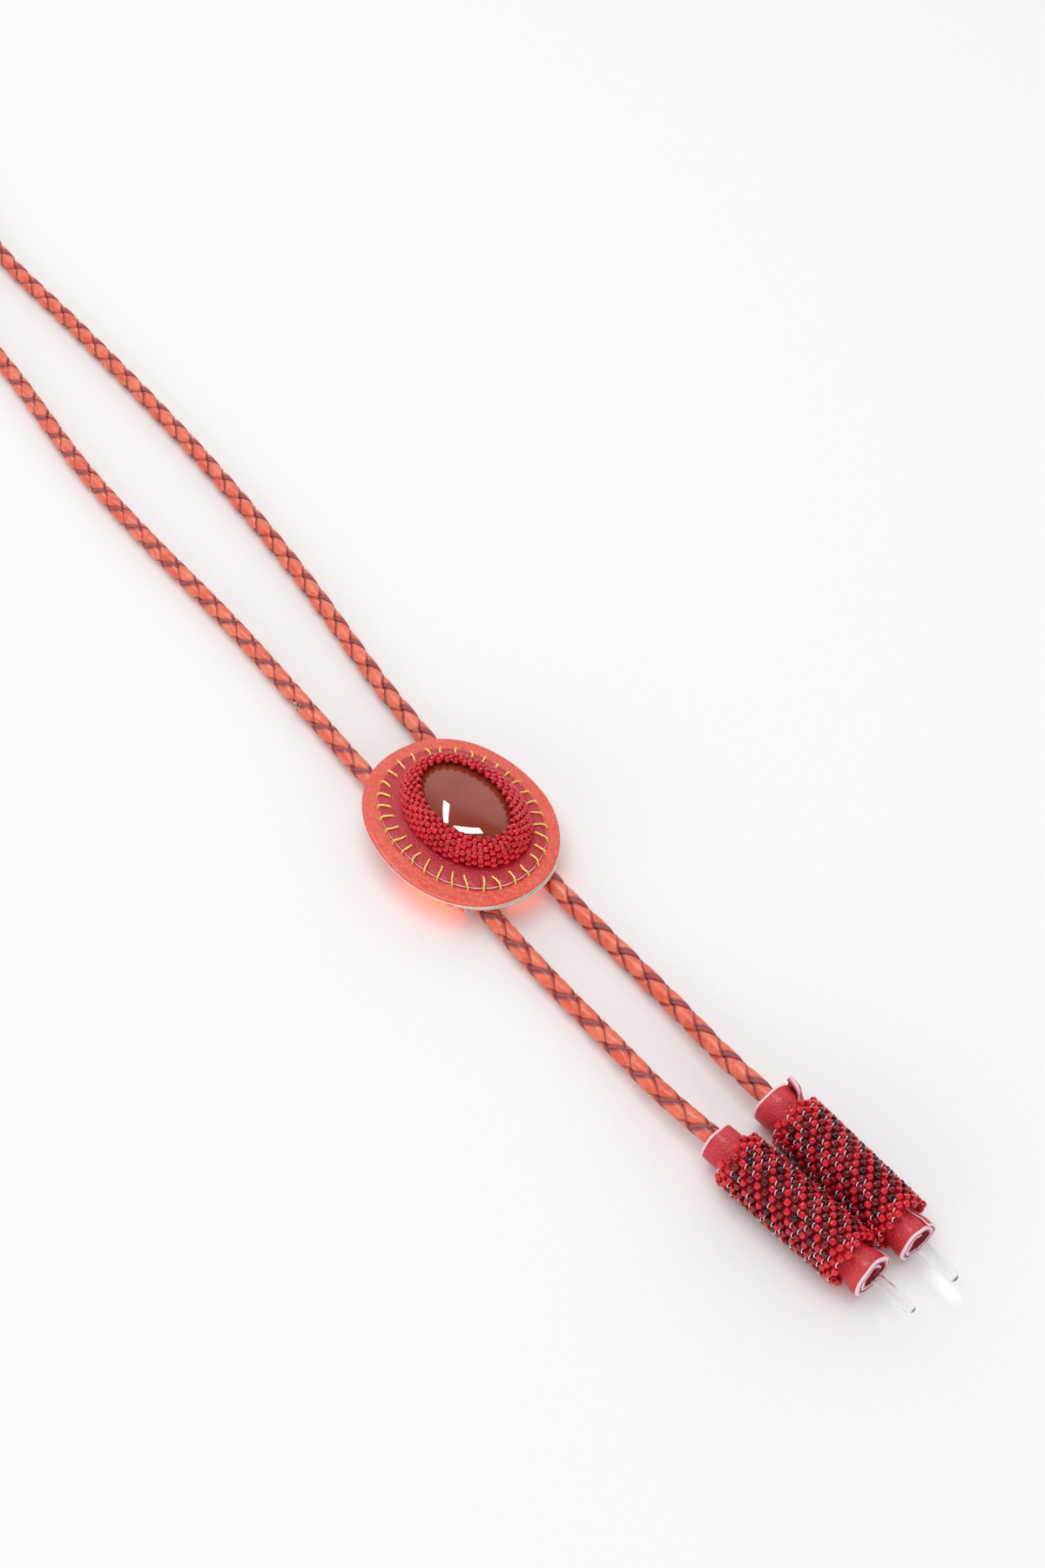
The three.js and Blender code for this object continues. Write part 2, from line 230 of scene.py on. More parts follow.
class Finish(Nodes):
    """A material with one Principled shader, and the nodes that feed it."""

    def __init__(self, name, **constants):
        self.material = bpy.data.materials.new(name)
        self.material.use_nodes = True
        super().__init__(self.material.node_tree)
        self.shader = self.tree.nodes["Principled BSDF"]
        for socket, value in constants.items():
            self.shader.inputs[socket.replace("_", " ")].default_value = value

    def feed(self, socket, value):
        self.tree.links.new(value.socket, self.shader.inputs[socket])

    def place(self):
        return self.node("ShaderNodeTexCoord", {}, {}, "Object")

    def attribute(self, name):
        return self.node("ShaderNodeAttribute", {"attribute_name": name}, {}, "Fac")

    def noise(self, scale, detail=3.0, roughness=0.55):
        values = {"Vector": self.place(), "Scale": scale, "Detail": detail, "Roughness": roughness}
        return self.node("ShaderNodeTexNoise", {}, values, "Fac")

    def cells(self, scale, feature="F1"):
        values = {"Vector": self.place(), "Scale": scale}
        return self.node("ShaderNodeTexVoronoi", {"feature": feature}, values, "Distance")

    def mix(self, factor, first, second):
        values = {0: factor, 6: first, 7: second}
        return self.node("ShaderNodeMix", {"data_type": "RGBA"}, values, 2)

    def bump(self, height, depth, strength=1.0):
        values = {"Strength": strength, "Distance": depth, "Height": height}
        self.feed("Normal", self.node("ShaderNodeBump", {}, values))


def colour(red, green, blue):
    """A colour as a screen shows it, 0 to 255, in the light values that shaders use."""
    def light(share):
        return share / 12.92 if share <= 0.04045 else ((share + 0.055) / 1.055) ** 2.4
    return (light(red / 255), light(green / 255), light(blue / 255), 1.0)


def cord_leather():
    finish = Finish("cord_leather", Coat_Weight=0.15, Coat_Roughness=0.3)
    patch = finish.noise(230.0, 3.0)
    wear = finish.noise(800.0, 4.0)
    grain = finish.noise(5200.0, 3.0)
    across = finish.attribute("across") + (wear - 0.5) * 0.3
    body = finish.mix(patch.ramp(0.36, 0.64), colour(226, 84, 54), colour(240, 124, 94))
    body = finish.mix(wear.ramp(0.54, 0.70) * 0.6, body, colour(206, 62, 38))
    body = finish.mix(grain.ramp(0.58, 0.75) * 0.4, body, colour(248, 160, 130))
    # Bands along each lace's edges: its dyed cut edge, darkened further by painted shade towards the
    # crevice where it dives under the next lace; the last mix is the cut face's own colour
    body = finish.mix(across.ramp(0.60, 0.74), body, colour(170, 70, 66))
    body = finish.mix(across.ramp(0.86, 0.94), body, colour(112, 30, 34))
    body = finish.mix(finish.attribute("across").ramp(0.985, 0.999), body, colour(158, 76, 80))
    torn = finish.node("ShaderNodeVectorMath", {"operation": "DISTANCE"},
                       {0: finish.place(), 1: NICK_PLACE}, "Value")
    torn = 1 - (torn + (wear - 0.5) * 1.2 * MM).ramp(0.5 * MM, 1.0 * MM)
    body = finish.mix(torn, body, colour(92, 44, 38))
    finish.feed("Base Color", body)
    finish.feed("Roughness", 0.38 + grain * 0.2 + across.ramp(0.84, 0.95) * 0.2)
    finish.bump(grain * 0.4 + wear * 0.6, 0.12 * MM, 0.6)
    return finish.material


def coral_leather():
    finish = Finish("coral_leather", Coat_Weight=0.25, Coat_Roughness=0.18)
    pebbles = finish.cells(980.0, "SMOOTH_F1")
    creases = finish.cells(980.0, "DISTANCE_TO_EDGE")
    patch = finish.noise(170.0, 3.0)
    fine = finish.noise(4200.0, 4.0)
    fibre = finish.noise(2600.0, 5.0, 0.7)
    edge = finish.attribute("edge").ramp(0.45, 0.55)
    body = finish.mix(patch.ramp(0.3, 0.7), colour(242, 78, 50), colour(248, 100, 72))
    # The darker creases between the pebbles are painted shade
    body = finish.mix((1 - creases.ramp(0.0, 0.26)) * fine.ramp(0.3, 0.6) * 0.75, body,
                      colour(186, 48, 38))
    body = finish.mix(fine.ramp(0.6, 0.8) * 0.35, body, colour(244, 132, 112))
    pale = finish.mix(fibre.ramp(0.35, 0.65), colour(240, 226, 208), colour(255, 252, 246))
    finish.feed("Base Color", finish.mix(edge, body, pale))
    finish.feed("Roughness", 0.36 + fine * 0.16 + edge * 0.4)
    height = (1 - pebbles) * (1 - edge) * 0.9 + fine * 0.25 + fibre * edge * 1.2
    finish.bump(height, 0.42 * MM, 1.0)
    return finish.material


def crimson_leather(name="crimson_leather", top=(198, 14, 40), light=(216, 36, 58), crease_shade=0.7):
    finish = Finish(name, Coat_Weight=0.15, Coat_Roughness=0.25)
    creases = finish.cells(1500.0, "DISTANCE_TO_EDGE")
    patch = finish.noise(240.0, 3.0)
    fine = finish.noise(5200.0, 4.0)
    fibre = finish.noise(3000.0, 5.0, 0.7)
    edge = finish.attribute("edge").ramp(0.45, 0.55)
    through = finish.attribute("through") + (fibre - 0.5) * 0.3
    body = finish.mix(patch.ramp(0.3, 0.7), colour(*top), colour(*light))
    # The darker creases in the wrinkles are painted shade
    body = finish.mix((1 - creases.ramp(0.0, 0.26)) * fine.ramp(0.3, 0.6) * crease_shade, body,
                      colour(132, 10, 30))
    cut = finish.mix(through.ramp(0.05, 0.15), colour(110, 16, 40), colour(206, 52, 72))
    cut = finish.mix(through.ramp(0.25, 0.35), cut, colour(206, 144, 168))
    cut = finish.mix(through.ramp(0.50, 0.75), cut, colour(255, 226, 230))
    finish.feed("Base Color", finish.mix(edge, body, cut))
    finish.feed("Roughness", 0.40 + fine * 0.18 + edge * 0.3)
    height = creases.ramp(0.0, 0.3) * (1 - edge) * 0.6 + fine * 0.25 + fibre * edge
    finish.bump(height, 0.20 * MM, 0.75)
    return finish.material


def bead_glass():
    finish = Finish("bead_glass", Coat_Weight=1.0, Coat_Roughness=0.08, Coat_IOR=1.5,
                    Specular_IOR_Level=0.0)
    dark = finish.attribute("dark")
    tone = finish.attribute("tone")
    swirl = finish.noise(2400.0, 2.0)
    red = finish.mix(tone, colour(182, 4, 28), colour(222, 22, 44))
    red = finish.mix(swirl.ramp(0.45, 0.8) * 0.4, red, colour(222, 56, 58))
    brown = finish.mix(tone, colour(46, 2, 10), colour(140, 14, 34))
    finish.feed("Base Color", finish.mix(dark, red, brown))
    finish.feed("Roughness", 0.16 + swirl * 0.14)
    finish.bump(swirl, 0.02 * MM, 0.3)
    return finish.material


def polished_stone():
    finish = Finish("polished_stone", Coat_Weight=1.0, Coat_Roughness=0.02, Coat_IOR=1.65,
                    Specular_IOR_Level=0.0)
    cloud = finish.noise(110.0, 4.0)
    speck = finish.noise(2300.0, 2.0)
    body = finish.mix(cloud.ramp(0.3, 0.7), colour(140, 50, 34), colour(160, 68, 46))
    body = finish.mix(speck.ramp(0.66, 0.74) * 0.4, body, colour(96, 34, 30))
    finish.feed("Base Color", body)
    finish.feed("Roughness", 0.10 + cloud * 0.05)
    return finish.material


def clear_glass():
    """Almost unseen over a pale table; the blue-grey at the rod's rounded end is a painted reflection.
    """
    finish = Finish("clear_glass", Transmission_Weight=1.0, IOR=1.16)
    draw = finish.noise(300.0, 2.0)
    body = finish.mix(draw, colour(250, 252, 253), colour(255, 255, 255))
    # The dark blue-grey at the rounded end is a painted reflection
    painted_end_reflection = finish.attribute("point").ramp(0.55, 0.85)
    finish.feed("Base Color", finish.mix(painted_end_reflection, body, colour(52, 78, 104)))
    finish.feed("Roughness", draw * 0.02)
    finish.bump(draw, 0.05 * MM, 0.2)
    return finish.material


def thread_finish(name, dark, light, metallic, roughness):
    finish = Finish(name, Metallic=metallic)
    twist = finish.noise(3600.0, 3.0)
    finish.feed("Base Color", finish.mix(twist.ramp(0.35, 0.65), colour(*dark), colour(*light)))
    finish.feed("Roughness", roughness + twist * 0.2)
    finish.bump(twist, 0.06 * MM, 0.6)
    return finish.material


def floor_finish():
    finish = Finish("floor_paper", Roughness=0.75)
    tooth = finish.noise(700.0, 3.0)
    finish.feed("Base Color", finish.mix(tooth, colour(246, 246, 246), colour(250, 250, 250)))
    finish.bump(tooth, 0.05 * MM, 0.1)
    return finish.material


def make_camera():
    data = bpy.data.cameras.new("camera")
    data.lens = CAMERA_LENS
    data.sensor_width = CAMERA_SENSOR
    data.clip_start = 10 * MM
    data.clip_end = 10.0
    camera = bpy.data.objects.new("camera", data)
    camera.location = CAMERA_PLACE
    camera.rotation_euler = Euler((math.pi / 2 - CAMERA_PITCH, 0, -CAMERA_HEADING))
    bpy.context.scene.collection.objects.link(camera)
    bpy.context.scene.camera = camera


def piece(name, mesh, finish, slot, *replaced):
    """Makes a piece that rides on the one body."""
    made = bpy.data.objects.new(name, mesh)
    bpy.context.scene.collection.objects.link(made)
    mesh.materials.clear()
    mesh.materials.append(finish)
    for face in mesh.polygons:
        face.use_smooth = True
    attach(made, "root")
    if replaced:
        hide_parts(*replaced)
    return made


def to_mesh(shape, name):
    mesh = bpy.data.meshes.new(name)
    shape.to_mesh(mesh)
    shape.free()
    return mesh


def bend_to_shape(shape, put, *names):
    """Moves each point where put says, and keeps the marks that it gives under their names."""
    for name in names:
        shape.verts.layers.float.new(name)
    layers = [shape.verts.layers.float[name] for name in names]
    for vert in shape.verts:
        vert.co, *marks = put(*vert.co)
        for layer, mark in zip(layers, marks):
            vert[layer] = mark
    bmesh.ops.recalc_face_normals(shape, faces=shape.faces)
    return shape


def strap(cells_along, cells_across):
    """A flat strap: x from -1 to 1 along it, y from -1 to 1 across, z from 0 to 1 through."""
    shape = bmesh.new()
    bmesh.ops.create_grid(shape, x_segments=cells_along, y_segments=cells_across, size=1)
    raised = bmesh.ops.extrude_face_region(shape, geom=shape.faces[:])["geom"]
    top = [part for part in raised if isinstance(part, bmesh.types.BMVert)]
    bmesh.ops.translate(shape, verts=top, vec=UP)
    return shape


def turned(profile, sides):
    """A body turned about Z from a profile of (radius, height)."""
    shape = bmesh.new()
    line = [shape.verts.new((radius, 0, height)) for radius, height in profile]
    edges = [shape.edges.new(pair) for pair in zip(line, line[1:])]
    bmesh.ops.spin(shape, geom=line + edges, cent=(0, 0, 0), axis=UP, angle=math.tau,
                   steps=sides, use_merge=True)
    bmesh.ops.remove_doubles(shape, verts=shape.verts[:], dist=1e-7)
    bmesh.ops.recalc_face_normals(shape, faces=shape.faces)
    return shape


def copies(name, template, places, marks):
    """One mesh of many copies of a small body, each with its own marks."""
    template.verts.ensure_lookup_table()
    points = [vert.co.copy() for vert in template.verts]
    faces = [[vert.index for vert in face.verts] for face in template.faces]
    template.free()
    mesh = bpy.data.meshes.new(name)
    all_points = [place @ point for place in places for point in points]
    all_faces = []
    for start in range(0, len(all_points), len(points)):
        all_faces += [[start + index for index in face] for face in faces]
    mesh.from_pydata(all_points, [], all_faces)
    for mark, values in marks.items():
        layer = mesh.attributes.new(mark, "FLOAT", "POINT")
        layer.data.foreach_set("value", [value for value in values for _ in points])
    return mesh


def threads(name, lines, width, bevel=2):
    """One mesh of round threads that follow lines of points."""
    data = bpy.data.curves.new(name, "CURVE")
    data.dimensions = "3D"
    data.bevel_depth = width / 2
    data.bevel_resolution = bevel
    data.resolution_u = 4
    data.use_fill_caps = True
    for line in lines:
        spline = data.splines.new("BEZIER")
        spline.bezier_points.add(len(line) - 1)
        for knot, point in zip(spline.bezier_points, line):
            knot.co = point
            knot.handle_left_type = "AUTO"
            knot.handle_right_type = "AUTO"
    helper = bpy.data.objects.new(name, data)
    mesh = bpy.data.meshes.new_from_object(helper)
    bpy.data.objects.remove(helper)
    bpy.data.curves.remove(data)
    return mesh


def on_tip(side, local):
    """A point given in a tip's own frame, which points along -Y from its cord end."""
    return TIP_FRAMES[side] @ Vector(local)


def cord_route():
    """The cord's route from inside the left tip to the neck loop and down to the right tip."""
    table = CORD_DIAMETER / 2 + 0.05 * MM
    keeper = 3.2 * MM
    strand = CORD_SPACING / 2 / MM
    end = KEEPER_END / MM
    middle = [
        (-5.0, -70, 1.7), (-5.3, -58, 0.7), (-6.1, -43, 0.1), (-6.9, -28, 0.45),
        (-strand, -end, None), (-strand, end, None), (-7.9, 28, 0.45), (-8.0, 44, 0.05),
        (-8.7, 80, 0), (-11.0, 118, 0), (-11.7, 146, 0), (-9.7, 188, 0), (-10.2, 240, 0),
        (-16.2, 290, 0), (-18.6, 318, 0), (-12.9, 332.4, 0), (0.8, 338.4, 0),
        (14.5, 332.4, 0), (20.2, 318, 0), (17.6, 290, 0), (10.9, 248, 0), (9.9, 227, 0),
        (11.6, 196, 0), (13.0, 160, 0), (13.4, 124, 0), (12.0, 84, 0), (8.8, 46, 0.05),
        (8.0, 28, 0.45), (strand, end, None), (strand, -end, None), (7.9, -28, 0.45),
        (9.0, -43, 0.1), (9.6, -58, 0.7), (9.6, -70, 1.7),
    ]
    ends = [(0, -CORD_SOCKET, 0), (0, 0, 0), (0, CORD_LEAD, -CORD_DROP)]
    route = [on_tip("left", point) for point in ends]
    for x, y, lift in middle:
        height = keeper if lift is None else table + lift * MM
        route.append(Vector((x * MM, y * MM, height)))
    route += [on_tip("right", point) for point in reversed(ends)]
    return route


def smooth_line(route, step):
    """Even steps along the smooth curve through the route's points."""
    ends = [2 * route[0] - route[1], *route, 2 * route[-1] - route[-2]]
    fine = [route[0]]
    for points in zip(ends, ends[1:], ends[2:], ends[3:]):
        before, start, end, after = points
        first, middle, last = [(b - a).length ** 0.5 for a, b in zip(points, points[1:])]
        leave = ((start - before) / first - (end - before) / (first + middle)) * middle
        leave += end - start
        arrive = ((after - end) / last - (after - start) / (middle + last)) * middle
        arrive += end - start
        fine += interpolate_bezier(start, start + leave / 3, end - arrive / 3, end, 80)[1:]
    even = [fine[0]]
    left = step
    for start, end in zip(fine, fine[1:]):
        span = (end - start).length
        while left <= span:
            even.append(start.lerp(end, left / span))
            left += step
        left -= span
    return even


class CordLine:
    """The cord's middle line, and the way out from it at any place and angle."""

    def __init__(self, route):
        self.points = smooth_line(route, LINE_STEP)
        self.length = LINE_STEP * (len(self.points) - 1)
        self.sides = []
        last = len(self.points) - 1
        for index in range(last + 1):
            tangent = self.points[min(index + 1, last)] - self.points[max(index - 1, 0)]
            self.sides.append(tangent.cross(UP).normalized())
        self.ups = []
        for index in range(last + 1):
            tangent = self.points[min(index + 1, last)] - self.points[max(index - 1, 0)]
            self.ups.append(self.sides[index].cross(tangent).normalized())

    def at(self, along, angle, radius):
        """A point at an angle from the top of the cord, towards its right-hand side."""
        place = min(max(along / LINE_STEP, 0), len(self.points) - 1.001)
        index = int(place)
        share = place - index
        point = self.points[index].lerp(self.points[index + 1], share)
        side = self.sides[index].lerp(self.sides[index + 1], share)
        up = self.ups[index].lerp(self.ups[index + 1], share)
        return point + (side * math.sin(angle) + up * math.cos(angle)) * radius


def braid_twist(along):
    """How far the whole plait is turned about its line."""
    return BRAID_TWIST + BRAID_SWAY * math.sin(along / BRAID_SWAY_LENGTH)


def weave_cord(line):
    """Four laces: each goes over one and under the next, all along the line."""
    turns = line.length / BRAID_PITCH * math.tau
    cord = bmesh.new()
    cells = round(turns / math.pi * LACE_CELLS)
    loose = bpy.data.meshes.new("lace")
    for way in (1, -1):
        for half in (0, 1):
            middle = math.pi * half

            def put(x, y, z):
                ahead = way * middle + LACE_HALF_WIDTH
                ahead += (x + 1) * (turns - LACE_HALF_WIDTH)
                drift = math.sin(0.61 * ahead + way + middle) + 0.7 * math.sin(1.37 * ahead + middle)
                across = middle + y * LACE_HALF_WIDTH + LACE_DRIFT * drift
                angle = (across + way * ahead) / 2
                along = (ahead - way * across) / 2 / math.tau * BRAID_PITCH
                over = math.tanh(LACE_SNAP * math.cos(ahead - middle)) / math.tanh(LACE_SNAP)
                radius = LACE_RADIUS + way * LACE_SWING * over
                if z > 0.5:
                    radius += LACE_THICKNESS / 2 - LACE_CROWN * y * y
                else:
                    radius -= LACE_THICKNESS / 2
                # Nearness to a lace's edges; the cord leather paints its dyed cut edge and painted
                # crevice shade from it
                edge_band_and_shade = max(y + (LACE_CUT_SHOWN if way < 0 else 0), -y - LACE_CUT_HIDDEN, 0)
                return line.at(along, angle + braid_twist(along), radius), edge_band_and_shade

            lace = bend_to_shape(strap(cells, LACE_CELLS_ACROSS), put, "across")
            lace.to_mesh(loose)
            lace.free()
            cord.from_mesh(loose)
    made = piece("braided_cord", to_mesh(cord, "braided_cord"), cord_leather(), "cord_leather", "cord")
    bpy.data.meshes.remove(loose)
    return made


def fray_cord():
    """Raw fibres that stand out where the left strand is nicked."""
    dice = random.Random(13)
    lines = []
    for _ in range(NICK_FIBRES):
        start = NICK_PLACE + Vector([dice.gauss(0, spread) for spread in (0.35, 0.75, 0.25)]) * MM
        way = Vector((dice.uniform(-1, 0.1), dice.uniform(-0.9, 0.9), dice.uniform(0.0, 0.9)))
        way.normalize()
        curl = Vector([dice.uniform(-0.3, 0.3) for _ in range(3)]) * MM
        reach = dice.uniform(0.5, 1.3) * MM
        lines.append([start - way * 0.3 * MM, start + way * reach * 0.5 + curl * 0.5,
                      start + way * reach + curl])
    finish = thread_finish("raw_fibre", (206, 172, 140), (246, 234, 218), 0.0, 0.7)
    mesh = threads("frayed_fibres", lines, FIBRE_WIDTH, 1)
    piece("frayed_fibres", mesh, finish, "cord_leather")


def rounded_oval(size, angle):
    """A point on an oval a little squarer than an ellipse."""
    across = math.cos(angle)
    along = math.sin(angle)
    power = 2 / OVAL_SQUARENESS
    x = math.copysign(abs(across) ** power, across) * size[0] / 2
    y = math.copysign(abs(along) ** power, along) * size[1] / 2
    return Vector((x, y, 0))


def even_angles(outline, count, fine=1440):
    """Angles at which an outline's points are the same distance apart."""
    points = [outline(math.tau * step / fine) for step in range(fine + 1)]
    walked = [0.0]
    for start, end in zip(points, points[1:]):
        walked.append(walked[-1] + (end - start).length)
    angles = []
    step = 0
    for number in range(count):
        goal = walked[-1] * number / count
        while walked[step + 1] < goal:
            step += 1
        share = (goal - walked[step]) / (walked[step + 1] - walked[step])
        angles.append(math.tau * (step + share) / fine)
    return angles


def leather_oval(name, node, seed, shift, narrower, droop, raw_side):
    """One of the coral ovals, cut by hand, so its outline isn't quite even.
    raw_side is the side that isn't dyed: 1 above, 0 below."""
    low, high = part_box(node)
    phases = [random.Random(seed).uniform(0, math.tau) for _ in range(5)]

    def put(x, y, z):
        share = math.hypot(x, y)
        angle = math.atan2(y, x)
        rough = sum(math.sin((number + 3) * angle + phase) / (number + 2)
                    for number, phase in enumerate(phases))
        point = rounded_oval([side - narrower for side in OVAL_SIZE], angle) * share
        point += OVAL_CENTRE + shift
        point += point.normalized() * rough * OVAL_ROUGHNESS * share ** 6
        wave = math.sin(3 * angle + phases[0]) + 0.7 * math.sin(5 * angle + phases[1])
        lift = (wave * OVAL_WAVE - droop * max(0, math.cos(angle + 0.9))) * share ** 5
        point.z = low.z + (high.z - low.z) * (0.03 + 0.94 * z) + lift
        raw = abs(z - raw_side) < 0.45 if share < 0.999 else abs(z - raw_side) < 0.75
        return point, float(raw)

    shape = bend_to_shape(turned(LEATHER_PROFILE, 180), put, "edge")
    return piece(name, to_mesh(shape, name), CORAL, "coral_leather", node)


def crimson_outline(angle):
    return rounded_oval(CRIMSON_SIZE, angle)


def crimson_frame():
    """The crimson oval's place and turn on the slide."""
    return Matrix.Translation(CRIMSON_CENTRE) @ Matrix.Rotation(CRIMSON_TURN, 4, "Z")


def make_crimson(stitch_angles):
    """The stitches pull the crimson leather's edge in and down, so it bulges between them."""
    low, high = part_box("crimson_leather")
    turned_by = crimson_frame()

    def pull(angle):
        nearest = min(abs((angle - stitch + math.pi) % math.tau - math.pi) for stitch in stitch_angles)
        return math.exp(-(nearest / STITCH_REACH) ** 2)

    def put(x, y, z):
        share = math.hypot(x, y)
        angle = math.atan2(y, x) % math.tau
        held = pull(angle)
        point = crimson_outline(angle)
        point *= share * (1 - STITCH_PULL * held * share ** 8)
        height = low.z + (high.z - low.z) * (0.02 + 0.96 * z)
        rim = max(0, (share - 0.86) / 0.14)
        height -= (EDGE_FALL + STITCH_FALL * held) * rim ** 2 * z
        point = turned_by @ point
        point.z = height
        return point, float(share > CUT_FROM), z

    shape = bend_to_shape(turned(LEATHER_PROFILE, STITCHES * 8), put, "edge", "through")
    return piece("crimson_oval", to_mesh(shape, "crimson_oval"), crimson_leather(),
                 "crimson_leather", "crimson_leather")


def make_stitches(stitch_angles):
    """Each stitch rises through the crimson leather, lies out over its edge and dives down."""
    low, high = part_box("crimson_leather")
    turned_by = crimson_frame()
    dice = random.Random(7)
    lines = []
    for angle in stitch_angles:
        length = STITCH_LENGTH * dice.uniform(0.88, 1.12)
        slant = dice.uniform(-0.035, 0.035)
        bow = dice.uniform(-0.02, 0.02)
        edge = crimson_outline(angle)
        outward = edge.normalized()
        half = STITCH_WIDTH / 2
        stations = [
            (-length, -0.4 * MM, 0), (-length, half * 0.7, 0), (-0.75 * length, half * 1.0, bow * 0.6),
            (-0.4 * length, half * 0.9, bow), (-0.1 * length, half * 0.6, bow * 0.5),
            (0.10 * MM, -0.15 * MM, 0), (0.22 * MM, -0.75 * MM, 0), (0.25 * MM, -1.25 * MM, 0),
        ]
        line = []
        for out, lift, sideways in stations:
            swing = Matrix.Rotation(slant * out / STITCH_LENGTH + sideways, 4, "Z")
            point = turned_by @ (swing @ (edge + outward * out))
            point.z = high.z + lift
            line.append(point)
        lines.append(line)
    mesh = threads("edge_stitches", lines, STITCH_WIDTH)
    finish = thread_finish("gold_thread", (234, 176, 30), (255, 244, 144), 0.2, 0.22)
    return piece("edge_stitches", mesh, finish, "crimson_leather")


def stone_point(radius, angle, height):
    """Turns a place on a round body into its place on the oval stone."""
    half = STONE_SIZE[0] / 2
    longer = (STONE_SIZE[1] - STONE_SIZE[0]) / 2
    inward = max(0, 1 - radius / half)
    along = radius + longer * (1 - inward ** 3)
    point = Vector((radius * math.cos(angle), along * math.sin(angle), 0))
    point = Matrix.Rotation(STONE_TURN, 4, "Z") @ point + STONE_CENTRE
    point.z = STONE_BASE + height
    return point


def make_stone():
    half = STONE_SIZE[0] / 2
    profile = [(0, 0), (0.5 * half, 0), (half - 0.3 * MM, 0), (half, 0.3 * MM), (half, STONE_GIRDLE)]
    for step in range(1, 24):
        angle = math.pi / 2 * step / 24
        profile.append((half * math.cos(angle), STONE_GIRDLE + STONE_DOME * math.sin(angle)))
    profile.append((0, STONE_GIRDLE + STONE_DOME))

    def put(x, y, z):
        return (stone_point(math.hypot(x, y), math.atan2(y, x), z),)

    shape = bend_to_shape(turned(profile, 120), put)
    return piece("cabochon_stone", to_mesh(shape, "cabochon_stone"), polished_stone(),
                 "polished_stone", "cabochon")


def bezel_section():
    """The middles of the bead rows in section, (radius, height): up, then in over the stone."""
    rows = [BEZEL_FOOT]
    for step in range(1, 2000):
        angle = math.pi / 2 * step / 2000
        point = (BEZEL_TOP[0] + (BEZEL_FOOT[0] - BEZEL_TOP[0]) * math.cos(angle),
                 BEZEL_FOOT[1] + (BEZEL_TOP[1] - BEZEL_FOOT[1]) * math.sin(angle))
        if math.dist(point, rows[-1]) >= BEZEL_PITCH:
            rows.append(point)
    return rows


def bead_shape(length, diameter, hole):
    """A seed bead, with its hole along X."""
    half = length / 2
    radius = diameter / 2
    bore = hole / 2
    loop = [
        (bore, -0.62 * half), (bore + 0.3 * (radius - bore), -0.95 * half), (0.78 * radius, -half),
        (0.93 * radius, -0.72 * half), (radius, 0), (0.93 * radius, 0.72 * half), (0.78 * radius, half),
        (bore + 0.3 * (radius - bore), 0.95 * half), (bore, 0.62 * half), (bore, -0.62 * half),
    ]
    shape = turned(loop, BEAD_SIDES)
    lying = Matrix.Rotation(math.pi / 2, 3, "Y")
    bmesh.ops.rotate(shape, verts=shape.verts[:], cent=(0, 0, 0), matrix=lying)
    return shape


def dash(bead, other, proud):
    """A stitch between two beads of a row, over the gap in the column between them.
    Each bead is given as (middle, way out, way along its hole)."""
    start = bead[0] + bead[2] * DASH_START
    end = other[0] - other[2] * DASH_START
    return [start, (start + end) / 2 + (bead[1] + other[1]).normalized() * proud, end]


def facing(middle, along, outward, dice, tilt, length=1.0):
    """The place of a bead whose hole runs along a line, with a little unevenness."""
    across = outward.cross(along).normalized()
    out = along.cross(across).normalized()
    turned_to = Matrix((along.normalized(), across, out)).transposed().to_4x4()
    wobble = Euler([dice.uniform(-tilt, tilt) for _ in range(3)]).to_matrix().to_4x4()
    size = Matrix.Diagonal([dice.uniform(0.94, 1.04) for _ in range(3)] + [1])
    size[0][0] *= length
    return Matrix.Translation(middle) @ turned_to @ wobble @ size


def make_bezel():
    """Beads in columns round the stone: every other column stands half a bead lower."""
    dice = random.Random(21)
    section = bezel_section()
    top = len(section) - 1
    angles = even_angles(lambda angle: stone_point(BEZEL_FOOT[0], angle, 0), BEZEL_COLUMNS)
    places = []
    tones = []
    middles = {}
    for column, angle in enumerate(angles):
        after = angles[(column + 1) % BEZEL_COLUMNS]
        before = angles[column - 1]
        for row in range(column % 2, BEZEL_ROWS, 2):
            radius, height = section[row]
            middle = stone_point(radius, angle, height)
            around = stone_point(radius, after, height) - stone_point(radius, before, height)
            low, high = [stone_point(radius, angle, height)
                         for radius, height in (section[max(0, row - 1)], section[min(row + 1, top)])]
            outward = around.cross(high - low).normalized()
            middle += outward * dice.uniform(-0.06, 0.06) * MM
            length = min(BEZEL_STRETCH, around.length / 2 / BEAD_LENGTH)
            places.append(facing(middle, around, outward, dice, 0.13, length))
            tones.append(dice.random())
            middles[(column, row)] = (middle, outward, around.normalized())
    template = bead_shape(BEAD_LENGTH, BEAD_DIAMETER * BEZEL_BEAD_SWELL, BEAD_HOLE)
    mesh = copies("bezel_beads", template, places, {"tone": tones, "dark": [0.0] * len(tones)})
    piece("bezel_beads", mesh, BEADS, "seed_beads", "bead_bezel")
    lines = []
    for (column, row), bead in middles.items():
        other = middles.get(((column + 2) % BEZEL_COLUMNS, row))
        if other and dice.random() < BEZEL_DASHES:
            lines.append(dash(bead, other, 0.12 * MM))
    mesh = threads("bezel_thread", lines, BEZEL_THREAD, 1)
    piece("bezel_thread", mesh, WHITE_THREAD, "seed_beads")


